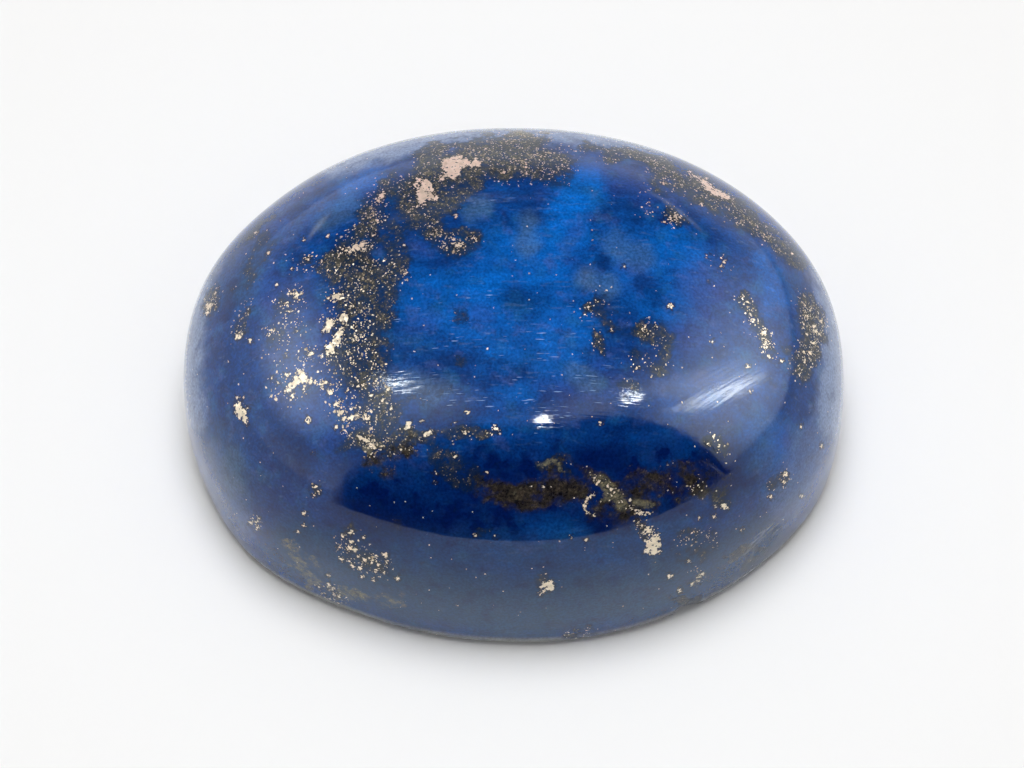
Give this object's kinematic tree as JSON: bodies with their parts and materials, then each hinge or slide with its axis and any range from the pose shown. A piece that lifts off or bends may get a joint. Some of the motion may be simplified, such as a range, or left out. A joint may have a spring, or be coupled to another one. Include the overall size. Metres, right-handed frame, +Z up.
{
  "type": "lapis lazuli cabochon",
  "caption": "Polished oval lapis lazuli stone with a high smooth dome, a slightly drawn-in side wall and a flat base to rest on.",
  "frame": {"origin": "centre of the flat base, on the surface that the stone rests on", "axes": "+X along the long way of the oval, +Y across it, away from the viewer of the picture, +Z up through the crown of the dome"},
  "size_m": [0.02, 0.0156, 0.0089],
  "materials": {
    "polished_lapis": "high hand polish over ultramarine blue rock with pyrite flecks and olive-grey matrix"
  },
  "bodies": {
    "root": {"lapis_cabochon": "polished_lapis"}
  },
  "joints": []
}
